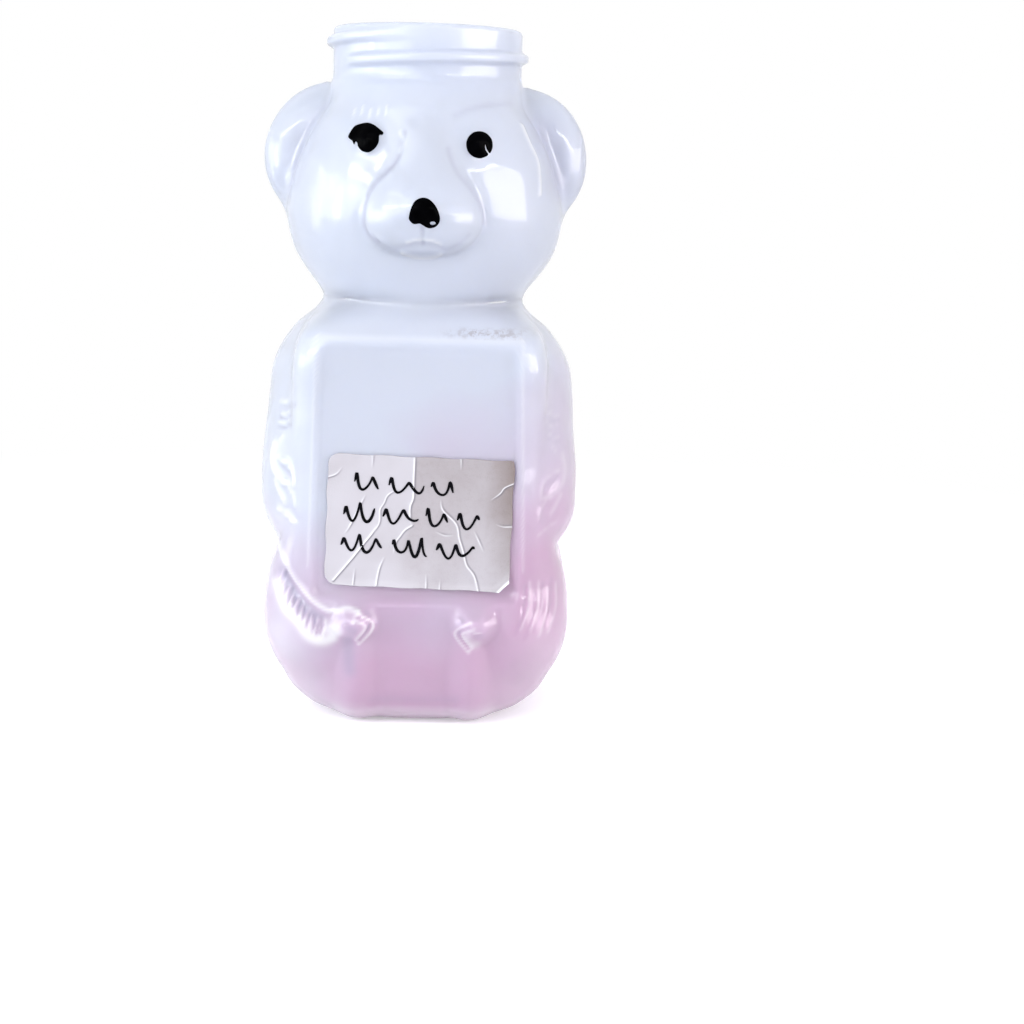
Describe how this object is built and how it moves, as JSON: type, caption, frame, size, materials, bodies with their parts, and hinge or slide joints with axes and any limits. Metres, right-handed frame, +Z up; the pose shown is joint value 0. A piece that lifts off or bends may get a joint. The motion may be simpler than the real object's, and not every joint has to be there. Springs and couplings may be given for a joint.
{
  "type": "honey bear bottle",
  "caption": "Squeezable bear-shaped plastic bottle with a wide screw neck, flat front and back panels, painted eyes and nose, and a paper label.",
  "frame": {"origin": "centre of the base, on the surface that the bottle stands on", "axes": "+Z up through the neck, -Y out of the bear's face, +X to the viewer's right when facing the bear"},
  "size_m": [0.0602, 0.0568, 0.127],
  "materials": {
    "shell_plastic": "milky natural polyethylene, soft gloss",
    "black_paint": "gloss",
    "label_paper": "matt wrinkled paper"
  },
  "bodies": {
    "root": {"bottle": "shell_plastic", "left_eye": "black_paint", "right_eye": "black_paint", "nose": "black_paint", "paper_label": "label_paper"}
  },
  "joints": []
}
